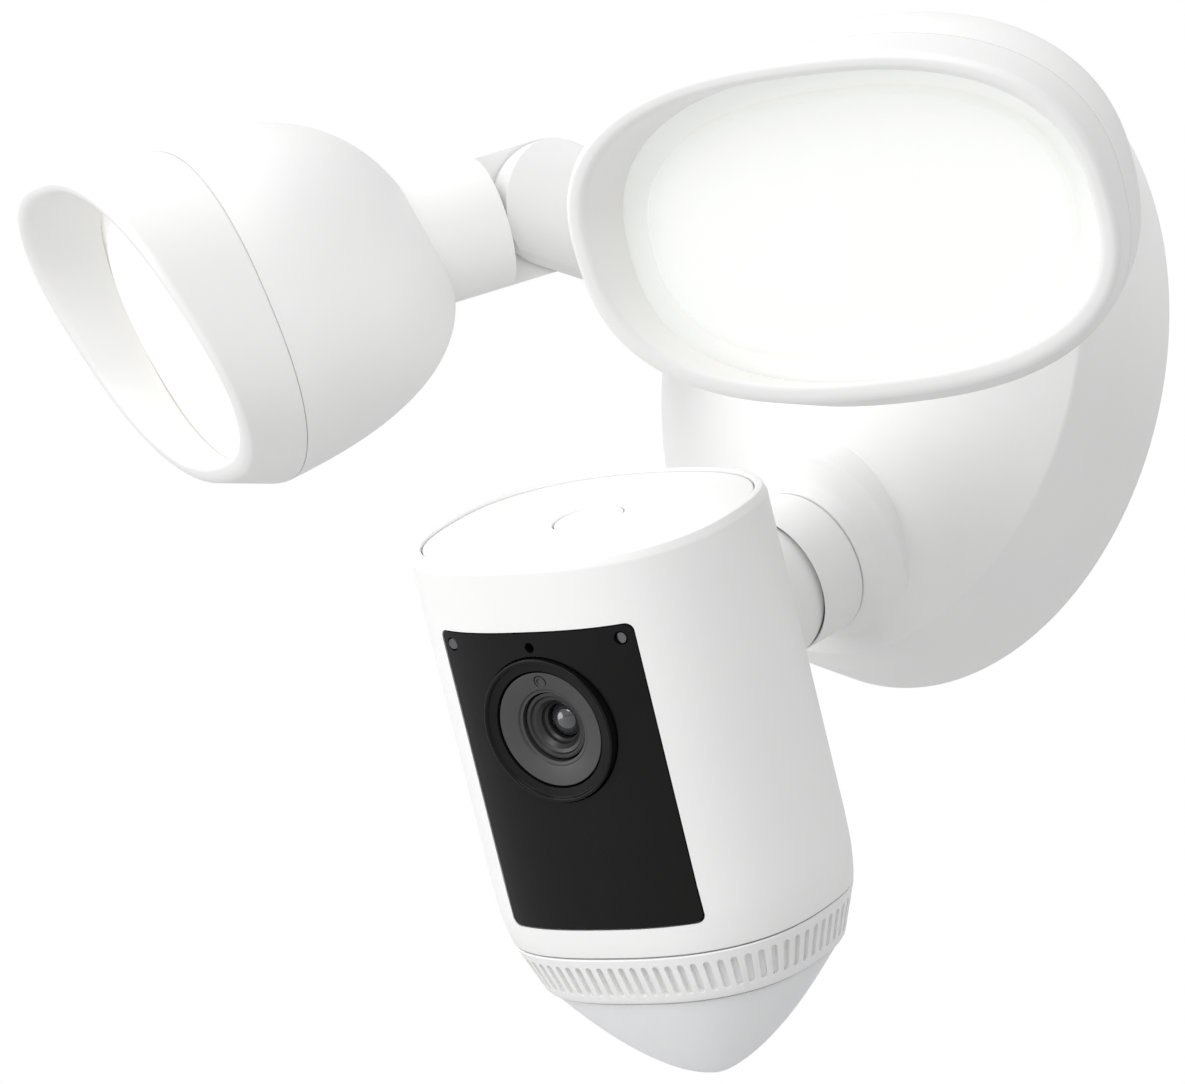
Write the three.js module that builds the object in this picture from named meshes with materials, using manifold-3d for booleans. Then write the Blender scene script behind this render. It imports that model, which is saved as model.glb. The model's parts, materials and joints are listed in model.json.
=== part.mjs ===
// A wired floodlight security camera: a round wall base, two hooded lamps on knuckle arms, and a camera on a
// ball joint. Millimetres, +Z up. The origin is the centre of the wall face, and the front faces -Y.
import * as THREE from "three";
import { mergeVertices } from "three/addons/utils/BufferGeometryUtils.js";
import Module from "manifold-3d";

const wasm = await Module();
wasm.setup();

// ---- Driving dimensions -----------------------------------------------------------------------------

const GAP = 0.3; // between pieces that touch on the real object
const WALL = 2.4; // moulded plastic shells
const ROUND = 20; // sides of an ordinary turned piece
const OVAL = 24; // points round an oval section
const degrees = THREE.MathUtils.degToRad;
const mix = THREE.MathUtils.lerp;

// The wall base. Its height is measured from the wall, towards the front.
const BASE = {
  radius: 60,
  creaseRadius: 56.2,
  creaseHeight: 19,
  domeRadius: 107,
  rimHeight: 0.5, // the side wall almost reaches the wall face
  sides: 36,
};

// The joint between the base and the camera: a pad on the base's face, then a neck that ends in a ball.
const NECK = {
  padDrop: 38.9, // the pad's centre, below the base's centre
  lean: 32, // the neck points forward and this many degrees down
  padRadius: 19.9,
  seamRadius: 13.7,
  seamHeight: 4.4,
  spigotRadius: 9.1,
  shaftRadius: 4.2,
  ballHeight: 23.3,
  ballRadius: 10,
  cupRadius: 15.7,
  wireRadius: 2,
};

// The camera module, in its own frame: origin at the centre of its top, +Z along its body, -Y its face.
const CAMERA = {
  halfWidth: 32.6,
  halfFront: 25.3,
  halfBack: 25.8,
  frontExponent: 2.6,
  backExponent: 2.4,
  seam: -74.3, // where the vent ring starts
  vent: -84.2, // where the vent ring ends
  domeTop: -84.6,
  domeTip: -105,
  domeScale: 0.812, // the dome's top against the body's section
  domeLean: 2, // how far forward the tip leans
  ball: [0, 36.9, -30.3],
  turn: [29.26, 1.31, 12.4], // rest pose about X, Y and Z
  panelHalfWidth: 20.9,
  panelTop: -12.4,
  panelBottom: -68.6,
  lensHeight: -30.7,
  slots: 72,
  slotDepth: 0.9,
};

// A lamp, in its own frame: origin at the centre of its front rim, -Y the way it shines.
const LAMP = {
  rim: { halfWidth: 48.4, halfHeight: 32.7, exponent: 2.53, depth: 0, lift: 0, slope: 0 },
  seam: { halfWidth: 45.7, halfHeight: 32.3, exponent: 2.41, depth: 14.9, lift: -6.5, slope: 0.182 },
  hoodWall: 2.6,
  backDepth: 43.5, // from the seam to the back of the shell
  backLift: -12.5,
  backExponent: 2.3,
  pivot: [0, 81.4, -23.5], // the knuckle
  neckRadius: 12.3,
};

// The arm that carries a lamp. Its own axis runs from the knuckle back into the base.
const ARM = {
  knuckle: [58.3, -46.1, 29.8], // mirrored on the left
  yaw: 25,
  pitch: -12,
  radius: 12,
  barrelRadius: 11,
  step: 22, // where the arm enters its socket
  end: 33.2,
  socketRadius: 14.5,
  socketFloor: 2.5,
  swivel: { right: -5.05, left: 5.9 }, // rest pose about the arm's own axis
  tilt: { right: 52.8, left: 50.3 }, // rest pose about the knuckle
};

// ---- Solids -----------------------------------------------------------------------------------------

// A closed geometry as a manifold-3d solid, facing outwards whichever way its profile was listed.
function solid(geometry) {
  const bare = geometry.clone();
  bare.deleteAttribute("normal");
  bare.deleteAttribute("uv");
  const merged = mergeVertices(bare, 1e-4);
  const vertProperties = new Float32Array(merged.attributes.position.array);
  const faces = [];
  for (let i = 0; i < merged.index.count; i += 3) {
    const [a, b, c] = [0, 1, 2].map((k) => merged.index.array[i + k]);
    if (a !== b && b !== c && a !== c) faces.push([a, b, c]);
  }
  const build = (list) =>
    new wasm.Manifold(new wasm.Mesh({ numProp: 3, vertProperties, triVerts: new Uint32Array(list.flat()) }));
  const made = build(faces);
  return made.volume() > 0 ? made : build(faces.map(([a, b, c]) => [a, c, b]));
}

function geometryOf(made) {
  const mesh = made.getMesh();
  const geometry = new THREE.BufferGeometry();
  geometry.setAttribute("position", new THREE.BufferAttribute(new Float32Array(mesh.vertProperties), 3));
  geometry.setIndex(new THREE.BufferAttribute(new Uint32Array(mesh.triVerts), 1));
  return geometry;
}

const join = (first, ...rest) => geometryOf(rest.reduce((sum, g) => sum.add(solid(g)), solid(first)));
const cut = (first, ...tools) => geometryOf(tools.reduce((left, g) => left.subtract(solid(g)), solid(first)));
const common = (first, second) => geometryOf(solid(first).intersect(solid(second)));

// A profile of [radius, height] points turned about +Z. A profile that leaves the axis closes on itself.
function turned(profile, sides = ROUND) {
  const loop = profile[0][0] > 0 ? [...profile, profile[0]] : profile;
  const points = loop.map(([radius, height]) => new THREE.Vector2(radius, height));
  return new THREE.LatheGeometry(points, sides).rotateX(Math.PI / 2);
}

const rod = (radius, from, to, sides = ROUND) =>
  turned([[0, from], [radius, from], [radius, to], [0, to]], sides);
const ring = (inner, outer, from, to, sides = ROUND) =>
  turned([[inner, from], [outer, from], [outer, to], [inner, to]], sides);

// A box between two corners.
function block([x0, y0, z0], [x1, y1, z1]) {
  const box = new THREE.BoxGeometry(x1 - x0, y1 - y0, z1 - z0);
  return box.translate((x0 + x1) / 2, (y0 + y1) / 2, (z0 + z1) / 2);
}

// A skin over rings of equal point count: capped at both ends, or joined end to end when it closes.
function loft(rings, closes = false) {
  const count = rings[0].length;
  const points = rings.flat();
  const faces = [];
  const bands = closes ? rings.length : rings.length - 1;
  for (let i = 0; i < bands; i++) {
    const next = (i + 1) % rings.length;
    for (let j = 0; j < count; j++) {
      const k = (j + 1) % count;
      faces.push(i * count + j, i * count + k, next * count + k);
      faces.push(i * count + j, next * count + k, next * count + j);
    }
  }
  if (!closes) {
    const ends = [[0, false], [rings.length - 1, true]];
    for (const [index, flip] of ends) {
      const middle = new THREE.Vector3();
      rings[index].forEach((p) => middle.addScaledVector(p, 1 / count));
      points.push(middle);
      for (let j = 0; j < count; j++) {
        const edge = [index * count + j, index * count + ((j + 1) % count)];
        faces.push(points.length - 1, ...(flip ? edge : edge.reverse()));
      }
    }
  }
  const geometry = new THREE.BufferGeometry().setFromPoints(points);
  geometry.setIndex(faces);
  return geometry;
}

// The distance from the middle of a superellipse to its edge, along a direction's cosine and sine.
function reach(cosine, sine, halfWidth, halfHeight, exponent) {
  const sum = Math.abs(cosine / halfWidth) ** exponent + Math.abs(sine / halfHeight) ** exponent;
  return sum ** (-1 / exponent);
}

const directions = Array.from({ length: OVAL }, (_, i) => {
  const angle = (2 * Math.PI * i) / OVAL;
  return [Math.cos(angle), Math.sin(angle)];
});

const alongFront = (geometry) => geometry.rotateX(Math.PI / 2); // +Z becomes -Y
const alongBack = (geometry) => geometry.rotateX(-Math.PI / 2); // +Z becomes +Y
const alongX = (geometry) => geometry.rotateY(Math.PI / 2); // +Z becomes +X

// ---- Materials --------------------------------------------------------------------------------------

const finish = (color, roughness, metalness = 0) => () =>
  new THREE.MeshStandardMaterial({ color, roughness, metalness });
const MATERIALS = {
  white: finish(0xf2f2f0, 0.45),
  diffuser: () =>
    new THREE.MeshStandardMaterial({ color: 0xfffff4, roughness: 0.5, emissive: 0xfffbe8 }),
  frosted: finish(0xf4f5f6, 0.35),
  panel: finish(0x141414, 0.15),
  darkPlastic: finish(0x1c1c1d, 0.4),
  greyPlastic: finish(0x4a4a4c, 0.45),
  glass: finish(0x223038, 0.05),
  steel: finish(0xa8aaad, 0.35, 1),
  aluminium: finish(0xc4c6c8, 0.4, 1),
  rubber: finish(0x2b2b2b, 0.85),
  board: finish(0x1f5a38, 0.5),
  reflector: finish(0xf7f7f2, 0.25),
  nylon: finish(0xd8d8d2, 0.55),
};

const part = (name, material, geometry) => {
  const mesh = new THREE.Mesh(geometryOf(solid(geometry)), MATERIALS[material]());
  mesh.name = name;
  return mesh;
};

// ---- Wall base --------------------------------------------------------------------------------------

// The height of the dome, or of a shell under it, at a distance from the axis.
function domeHeight(radius, thickness = 0) {
  const { domeRadius, creaseRadius, creaseHeight } = BASE;
  const centre = creaseHeight - Math.sqrt(domeRadius ** 2 - creaseRadius ** 2);
  return centre + Math.sqrt((domeRadius - thickness) ** 2 - radius ** 2);
}

// The frame of the neck, with +Z along it and its origin at the middle of the pad.
const neckFrame = new THREE.Matrix4()
  .makeRotationX(degrees(90 + NECK.lean))
  .setPosition(0, -domeHeight(NECK.padDrop), -NECK.padDrop);

// The frame of an arm at rest: +Y along it towards the base, origin at the knuckle. side is 1 or -1.
function armFrame(side) {
  const swivel = side > 0 ? ARM.swivel.right : ARM.swivel.left;
  const turn = new THREE.Euler(degrees(ARM.pitch), degrees(swivel), degrees(side * ARM.yaw), "ZXY");
  const [x, y, z] = ARM.knuckle;
  return new THREE.Matrix4().makeRotationFromEuler(turn).setPosition(side * x, y, z);
}

const SIDES = [["right", 1], ["left", -1]];
const SOCKET = {
  mouth: ARM.step + GAP,
  floor: ARM.end + GAP,
  bore: ARM.barrelRadius + GAP,
  screwHole: 3.2,
};
const postCircle = 46;
const housingPosts = [90, 210, 330].map((angle) => {
  return [postCircle * Math.cos(degrees(angle)), postCircle * Math.sin(degrees(angle))];
});
const BACK = { plateFrom: 5.2, plateTo: 7.2, bracket: 2, bracketScrewX: 40, wireHole: 9, wireHoleZ: 34 };
// The screw that holds the base to its bracket, and the bracket's leg that it enters, turned 30 degrees
// from the bottom towards the left.
const LOCK = { height: 7.5, hole: 1.8, legHalfWidth: 7, legEnd: 50, reach: 11.4, turn: degrees(30) };

function baseHousing() {
  const sideWall = WALL + 0.4;
  const { radius: rim, creaseRadius, creaseHeight, rimHeight } = BASE;
  const edge = [[creaseRadius, creaseHeight], [rim - 1.2, 12], [rim, rimHeight]];
  const inside = edge.slice(1).map(([radius, height]) => [radius - sideWall, height]).reverse();
  const outer = [0, 20, 39].map((radius) => [radius, domeHeight(radius)]);
  const inner = [52.5, 28, 0].map((radius) => [radius, domeHeight(radius, WALL + 0.2)]);
  const shell = alongFront(turned([...outer, ...edge, ...inside, ...inner], BASE.sides));

  const pad = turned([
    [0, -7.2], [NECK.padRadius + 0.4, -7.2], [NECK.padRadius, 0], [17.2, 1.2], [14.8, 3],
    [NECK.seamRadius, NECK.seamHeight], [0, NECK.seamHeight],
  ], 28).applyMatrix4(neckFrame);
  const padBore = rod(NECK.spigotRadius + GAP, -20, 10).applyMatrix4(neckFrame);

  const sockets = SIDES.map(([, side]) => {
    const socket = rod(ARM.socketRadius, SOCKET.mouth, SOCKET.floor + ARM.socketFloor, 24);
    return alongBack(socket).applyMatrix4(armFrame(side));
  });
  const bores = SIDES.flatMap(([, side]) => [
    alongBack(rod(SOCKET.bore, 10, SOCKET.floor, 24)).applyMatrix4(armFrame(side)),
    alongBack(rod(SOCKET.screwHole, 20, 48, 12)).applyMatrix4(armFrame(side)),
  ]);
  const post = () => alongFront(rod(4, BACK.plateTo + GAP, 21, 12));
  const pilot = () => alongFront(rod(1.7, 2, 17, 8));
  const posts = housingPosts.map(([x, z]) => post().translate(x, 0, z));
  const pilots = housingPosts.map(([x, z]) => pilot().translate(x, 0, z));
  const lockHole = rod(LOCK.hole, -BASE.radius - 10, 10 - BASE.radius, 10)
    .translate(0, -LOCK.height, 0).rotateY(LOCK.turn);
  return cut(join(shell, pad, ...sockets, ...posts), padBore, ...bores, ...pilots, lockHole);
}

function backPlate() {
  const plate = rod(BASE.radius - WALL - 1.1, BACK.plateFrom, BACK.plateTo, BASE.sides);
  const feet = [[-22, -10], [22, -10], [-22, 16], [22, 16]].map(([x, z]) =>
    rod(2.4, BACK.plateTo - 0.5, 9.2, 8).translate(x, z, 0));
  const wireHole = rod(BACK.wireHole, 0, 20).translate(0, BACK.wireHoleZ, 0);
  const screwHoles = housingPosts.map(([x, z]) => rod(2.1, 0, 20, 8).translate(x, z, 0));
  const notchHalfWidth = LOCK.legHalfWidth + 1;
  const notch = block([-notchHalfWidth, -BASE.radius, 0], [notchHalfWidth, 3.5 - LOCK.legEnd, 20])
    .rotateZ(-LOCK.turn);
  return alongFront(cut(join(plate, ...feet), wireHole, ...screwHoles, notch));
}

// An outline with round ends, along X.
function stadium(outline, centreX, halfStraight, radius) {
  outline.moveTo(centreX - halfStraight, -radius);
  outline.lineTo(centreX + halfStraight, -radius);
  outline.absarc(centreX + halfStraight, 0, radius, -Math.PI / 2, Math.PI / 2);
  outline.lineTo(centreX - halfStraight, radius);
  outline.absarc(centreX - halfStraight, 0, radius, Math.PI / 2, (3 * Math.PI) / 2);
  return outline;
}

// The steel strap that screws to the junction box, solid at its centre, with a leg down to the lock screw.
function mountingBracket() {
  const halfLength = 49;
  const halfWidth = 17;
  const { bracket, bracketScrewX } = BACK;
  const { legHalfWidth, legEnd, height } = LOCK;
  const strap = stadium(new THREE.Shape(), 0, halfLength - halfWidth, halfWidth);
  strap.holes = [-1, 1].map((side) => stadium(new THREE.Path(), side * bracketScrewX, 3, 2.4));
  const flat = new THREE.ExtrudeGeometry(strap, { depth: bracket, bevelEnabled: false, curveSegments: 6 });
  const leg = block([-legHalfWidth, -legEnd, 0], [legHalfWidth, 1 - halfWidth, bracket]);
  const tab = block([-legHalfWidth, -legEnd, 0.5], [legHalfWidth, bracket - legEnd, height + 4]);
  const tapped = rod(1.7, -10, 10, 8).rotateX(Math.PI / 2).translate(0, -legEnd, height);
  const lockEnd = cut(join(leg, tab), tapped).rotateZ(-LOCK.turn);
  return alongFront(join(flat, lockEnd));
}

// A pan head screw standing on z = 0 with its shank along -Z and a cross recess in its head.
function screw(headRadius, headHeight, shankRadius, shankLength) {
  const body = turned([
    [0, -shankLength], [shankRadius, -shankLength], [shankRadius, 0], [headRadius, 0],
    [headRadius * 0.85, headHeight], [0, headHeight],
  ], 12);
  const arm = headRadius * 0.55;
  const top = [arm, 0.4, headHeight + 1];
  const bottom = [-arm, -0.4, headHeight * 0.45];
  return cut(body, block(bottom, top), block(bottom, top).rotateZ(Math.PI / 2));
}

function baseParts() {
  const boardHeight = 9.5;
  const parts = [
    part("base_housing", "white", baseHousing()),
    part("back_plate", "white", backPlate()),
    part("wall_gasket", "rubber", alongFront(ring(51.2, BASE.radius - 3.3, 0, 1.5, BASE.sides))),
    part("mounting_bracket", "steel", mountingBracket()),
    part("power_board", "board", block([-26, -boardHeight - 1.6, -14], [26, -boardHeight, 20])),
    part("transformer", "darkPlastic", block([-20, -24, -10], [-2, -boardHeight - 1.9, 6])),
    part("filter_capacitor", "greyPlastic", alongFront(rod(5, boardHeight + 1.9, 24)).translate(12, 0, 10)),
    part("terminal_block", "nylon", block([4, -21, -12], [24, -boardHeight - 1.9, -2])),
  ];
  for (const [name, side] of SIDES) {
    const geometry = alongFront(screw(4.4, 2.2, 1.9, BACK.bracket + 0.1));
    const mesh = part("bracket_screw_" + name, "steel", geometry);
    mesh.position.set(side * BACK.bracketScrewX, -BACK.bracket - GAP, 0);
    parts.push(mesh);
  }
  housingPosts.forEach(([x, z], i) => {
    const mesh = part("housing_screw_" + (i + 1), "steel", alongBack(screw(3.6, 1.8, 1.4, 10)));
    mesh.position.set(x, -BACK.plateFrom + GAP, z);
    parts.push(mesh);
  });
  const lock = screw(3.4, 1.6, 1.4, LOCK.reach).rotateX(Math.PI);
  lock.translate(0, -LOCK.height, -GAP - BASE.radius).rotateY(LOCK.turn);
  return [...parts, part("base_lock_screw", "steel", lock)];
}

// ---- Neck and ball joint ----------------------------------------------------------------------------

// Points on a sphere, as [distance from the axis, height], from one polar angle to another in degrees.
function arcPoints(radius, fromAngle, toAngle, steps, height = 0) {
  return Array.from({ length: steps + 1 }, (_, i) => {
    const angle = degrees(fromAngle + ((toAngle - fromAngle) * i) / steps);
    return [radius * Math.sin(angle), height + radius * Math.cos(angle)];
  });
}

// The angle from a sphere's pole to the circle of the given radius on it.
const angleAt = (circle, sphere) => THREE.MathUtils.radToDeg(Math.asin(circle / sphere));

function cameraNeck() {
  const { cupRadius, ballRadius, shaftRadius, ballHeight, wireRadius, spigotRadius, seamHeight } = NECK;
  const rimAngle = 180 - angleAt(NECK.seamRadius - 0.3, cupRadius);
  const shaftAngle = 180 - angleAt(shaftRadius, cupRadius);
  const ballStart = 180 - angleAt(shaftRadius, ballRadius);
  const cup = arcPoints(cupRadius, rimAngle, shaftAngle, 3, ballHeight);
  const ball = arcPoints(ballRadius, ballStart, angleAt(wireRadius, ballRadius), 7, ballHeight);
  const spigotEnd = -11.2;
  return turned([
    [wireRadius, spigotEnd], [spigotRadius, spigotEnd], [spigotRadius, seamHeight + GAP],
    [NECK.seamRadius, seamHeight + GAP], ...cup, ...ball,
  ], 24);
}

// The low-friction shell between the ball and its socket: it pans with the camera and lets the camera tilt.
function socketLiner() {
  const inner = NECK.ballRadius + GAP;
  const outer = inner + 1;
  return alongBack(turned([...arcPoints(inner, 62, 118, 3), ...arcPoints(outer, 118, 62, 3)], 24));
}

// ---- Camera module ----------------------------------------------------------------------------------

// A ring of the camera's oval section at a height, drawn in by an inset or shrunk by a scale.
function cameraRing(height, inset = 0, scale = 1) {
  return directions.map(([cosine, sine]) => {
    const front = sine < 0;
    const depth = (front ? CAMERA.halfFront : CAMERA.halfBack) * scale - inset;
    const exponent = front ? CAMERA.frontExponent : CAMERA.backExponent;
    const distance = reach(cosine, sine, CAMERA.halfWidth * scale - inset, depth, exponent);
    return new THREE.Vector3(cosine * distance, sine * distance, height);
  });
}

// The body's outside, as [height, inset], from its rounded top edge to the seam that it draws in to.
const bodyWall = [
  [-0.25, 1.3], [-0.9, 0.7], [-2.6, 0], [-64, 0], [-69.5, 0.35], [-72.4, 0.75], [CAMERA.seam, 1.2],
];

// A prism that runs forward from the camera's middle over the black panel's outline, grown by a margin.
function panelPrism(margin) {
  const halfWidth = CAMERA.panelHalfWidth + margin;
  const [bottom, top] = [CAMERA.panelBottom - margin, CAMERA.panelTop + margin];
  const corner = 1.6;
  const outline = new THREE.Shape();
  outline.moveTo(-halfWidth + corner, bottom);
  outline.lineTo(halfWidth - corner, bottom);
  outline.absarc(halfWidth - corner, bottom + corner, corner, -Math.PI / 2, 0);
  outline.lineTo(halfWidth, top - corner);
  outline.absarc(halfWidth - corner, top - corner, corner, 0, Math.PI / 2);
  outline.lineTo(-halfWidth + corner, top);
  outline.absarc(-halfWidth + corner, top - corner, corner, Math.PI / 2, Math.PI);
  outline.lineTo(-halfWidth, bottom + corner);
  outline.absarc(-halfWidth + corner, bottom + corner, corner, Math.PI, 1.5 * Math.PI);
  const prism = new THREE.ExtrudeGeometry(outline, { depth: 40, bevelEnabled: false, curveSegments: 4 });
  return alongFront(prism);
}

const COLLAR = { radius: 13.5, cavity: NECK.ballRadius + 1.6, back: -11.8 };
const BUTTON = { radius: 6.3 };

function cameraHousing() {
  const ledge = -3;
  const outer = bodyWall.map(([height, inset]) => cameraRing(height, inset));
  const inner = [[CAMERA.seam, 3.4], [-66, WALL], [ledge, WALL], [ledge, 1.9], [-0.25, 1.9]];
  const shell = loft([...outer, ...inner.map(([height, inset]) => cameraRing(height, inset))], true);
  const [, , ballZ] = CAMERA.ball;
  const collarHole = alongBack(rod(COLLAR.radius + GAP, 10, 40)).translate(0, 0, ballZ);
  return cut(shell, panelPrism(0), collarHole);
}

const lensAxis = (geometry) => alongFront(geometry).translate(0, 0, CAMERA.lensHeight);
const LENS = { bezel: 13.4, disc: 10.6, barrel: 6.2, glass: 3, face: 26 };
const infraredX = 18.3;
const infraredZ = CAMERA.panelTop - 2.6;
const microphoneZ = CAMERA.panelTop - 3;

function frontPanel() {
  const plate = cut(
    loft([cameraRing(-10, 0.15), cameraRing(-71, 0.15)]),
    loft([cameraRing(-9, 2.2), cameraRing(-72, 2.2)]),
  );
  const holes = [
    lensAxis(rod(LENS.bezel + GAP, 0, 40, 28)),
    ...[-1, 1].map((side) => alongFront(rod(1.3, 0, 40, 10)).translate(side * infraredX, 0, infraredZ)),
    alongFront(rod(1, 0, 40, 10)).translate(0, 0, microphoneZ),
  ];
  return cut(common(plate, panelPrism(-GAP)), ...holes);
}

function rearCollar() {
  const { radius, cavity, back } = COLLAR;
  const nose = NECK.cupRadius - 0.6;
  const noseArc = arcPoints(nose, angleAt(radius, nose), 50, 2);
  return alongBack(turned([[radius, back], ...noseArc, ...arcPoints(cavity, 58, 90, 3), [cavity, back]], 24));
}

function ballClamp() {
  const { cavity, back } = COLLAR;
  const outer = cavity - GAP;
  const seat = arcPoints(cavity, 110, 145, 4);
  return alongBack(turned([...seat, [6.6, back], [outer, back], [outer, seat[0][1]]], 24));
}

function topCap() {
  const plate = loft([cameraRing(-2.7, 2.2), cameraRing(-0.7, 2.2), cameraRing(-0.35, 2.6)]);
  return cut(plate, rod(BUTTON.radius + GAP, -10, 10));
}

// A disc nearly flush with the cap, with a flange that keeps it in and a stem over the switch.
function setupButton() {
  const { radius } = BUTTON;
  const [flange, stem, top] = [radius + 1.5, 1.6, -0.4];
  return turned([
    [0, -5.8], [stem, -5.8], [stem, -4.2], [flange, -4.2], [flange, -3.1], [radius, -3.1],
    [radius, top - 0.35], [radius - 0.4, top], [0, top],
  ]);
}

function lensBezel() {
  const { bezel, disc, face } = LENS;
  return lensAxis(turned([
    [disc + GAP, 19.8], [bezel, 19.8], [bezel, face - 0.5], [bezel - 0.6, face],
    [bezel - 1.5, face - 0.2], [disc + GAP, face - 1.4],
  ], 28));
}

function lensDisc() {
  const { disc, barrel, face } = LENS;
  return lensAxis(turned([
    [barrel + GAP, 20.1], [disc, 20.1], [disc, face - 1.5], [barrel + GAP, face - 2.5],
  ], 28));
}

function lensBarrel() {
  const { barrel, glass, face } = LENS;
  return lensAxis(turned([
    [0, 9.6], [barrel, 9.6], [barrel, face - 2.8], [5.4, face - 2.8], [4.6, face - 4.4],
    [glass + GAP, face - 5.3], [glass + GAP, 17], [0, 17],
  ]));
}

function lensGlass() {
  const { glass, face } = LENS;
  return lensAxis(turned([
    [0, 17.3], [glass, 17.3], [glass, face - 6.1], [2.2, face - 5.2], [1.2, face - 4.7], [0, face - 4.5],
  ], 14));
}

// The ring of blind vertical slots under the body. It draws in evenly from the seam to its lower edge.
function ventRing() {
  const top = CAMERA.seam - GAP;
  const drop = top - CAMERA.vent;
  const [topScale, bottomScale] = [0.962, 0.845];
  const ends = [[top, topScale], [CAMERA.vent, bottomScale]];
  const outer = ends.map(([height, scale]) => cameraRing(height, 0, scale));
  const inner = ends.reverse().map(([height, scale]) => cameraRing(height, WALL - 0.2, scale));
  const band = loft([...outer, ...inner], true);
  const middleRing = cameraRing(top - drop / 2, 0, mix(topScale, bottomScale, 0.5));
  const middle = new THREE.CatmullRomCurve3(middleRing, true);
  const slots = Array.from({ length: CAMERA.slots }, (_, i) => {
    const share = (i + 0.5) / CAMERA.slots;
    const [at, along] = [middle.getPointAt(share), middle.getTangentAt(share)];
    const lean = Math.atan(((topScale - bottomScale) * Math.hypot(at.x, at.y)) / drop);
    const slot = block([-CAMERA.slotDepth, -0.6, -0.34 * drop], [2, 0.6, 0.34 * drop]).rotateY(lean);
    return slot.rotateZ(Math.atan2(along.y, along.x) - Math.PI / 2).translate(at.x, at.y, at.z);
  });
  return cut(band, ...slots);
}

// The frosted lens over the motion sensor, a rounded cone that is open at the top.
function motionDome() {
  const thickness = 1.6;
  const { domeTop, domeTip, domeScale, domeLean } = CAMERA;
  const section = (share, raise, inset) => {
    const points = cameraRing(mix(domeTip, domeTop, share) + raise, inset, domeScale * share ** 0.624);
    return points.map((point) => point.setY(point.y - domeLean * (1 - share)));
  };
  const shares = [1, 0.86, 0.68, 0.46, 0.22, 0.07, 0.006];
  const hollow = shares.slice(0, -2).map((share) => section(share, thickness, thickness));
  return cut(loft(shares.map((share) => section(share, 0, 0))), loft(hollow));
}

function speaker() {
  return turned([[0, -80], [10, -80], [12, -77.6], [12, -74], [7, -72.2], [7, -70.4], [0, -70.4]]);
}

function cameraParts() {
  const [, ballY, ballZ] = CAMERA.ball;
  const parts = [
    part("camera_housing", "white", cameraHousing()),
    part("top_cap", "white", topCap()),
    part("front_panel", "panel", frontPanel()),
    part("rear_collar", "white", rearCollar().translate(0, ballY, ballZ)),
    part("ball_clamp", "nylon", ballClamp().translate(0, ballY, ballZ)),
    part("lens_bezel", "panel", lensBezel()),
    part("lens_disc", "greyPlastic", lensDisc()),
    part("lens_barrel", "darkPlastic", lensBarrel()),
    part("lens_glass", "glass", lensGlass()),
    part("sensor_board", "board", block([-13, -9.3, -44], [13, -7.9, -18])),
    part("main_board", "board", block([-24, 8, -70], [24, 9.6, -12])),
    part("button_switch", "darkPlastic", block([-3, -3, -10], [3, 3, -6.9])),
    part("microphone", "darkPlastic", alongFront(rod(0.8, 20, 23.4, 10)).translate(0, 0, microphoneZ)),
    part("vent_ring", "white", ventRing()),
    part("speaker", "darkPlastic", speaker()),
    part("motion_dome", "frosted", motionDome()),
    part("motion_sensor", "steel", rod(4.2, -88.5, -84, 20)),
  ];
  for (const [name, side] of SIDES) {
    const led = alongFront(rod(1, 17.5, 22.6, 10)).translate(side * infraredX, 0, infraredZ);
    parts.push(part("infrared_led_" + name, "glass", led));
  }
  return parts;
}

// ---- Lamps ------------------------------------------------------------------------------------------

// A ring of a lamp's oval section. Its plane slopes back with height, and an inset draws the ring in.
function lampRing({ halfWidth, halfHeight, exponent, depth, lift, slope }, inset = 0) {
  return directions.map(([cosine, sine]) => {
    const distance = reach(cosine, sine, halfWidth - inset, halfHeight - inset, exponent);
    const height = sine * distance;
    return new THREE.Vector3(cosine * distance, depth + slope * height, lift + height);
  });
}

// A section of the front hood, from 0 at the rim to 1 at the seam.
function hoodSection(share) {
  const { rim, seam } = LAMP;
  return Object.fromEntries(Object.keys(rim).map((key) => [key, mix(rim[key], seam[key], share)]));
}

// A section of the back shell, from 0 at the seam to 1 at its back end.
function shellSection(share) {
  const taper = (1 - share ** 2.5) ** (1 / 1.2);
  return {
    halfWidth: LAMP.seam.halfWidth * taper,
    halfHeight: LAMP.seam.halfHeight * Math.sqrt(taper),
    exponent: mix(LAMP.seam.exponent, LAMP.backExponent, share),
    depth: LAMP.seam.depth + LAMP.backDepth * share,
    lift: mix(LAMP.seam.lift, LAMP.backLift, share),
    slope: mix(LAMP.seam.slope, 0, share),
  };
}

function lampHood() {
  const end = 0.99;
  const ledge = 0.68;
  const rings = [
    [0, 0.8], [0.05, 0], [0.5, 0], [end, 0], [end, LAMP.hoodWall], [ledge, LAMP.hoodWall], [ledge, 4.3],
    [0.06, 3.5], [0, 3],
  ];
  return loft(rings.map(([share, inset]) => lampRing(hoodSection(share), inset)), true);
}

// The neck's axis, as a frame at the knuckle with +Z along the neck towards the lamp.
function neckAxis() {
  const [, y, z] = LAMP.pivot;
  return new THREE.Matrix4().makeRotationX(Math.PI / 2 - Math.atan2(-z, y)).setPosition(...LAMP.pivot);
}

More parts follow.
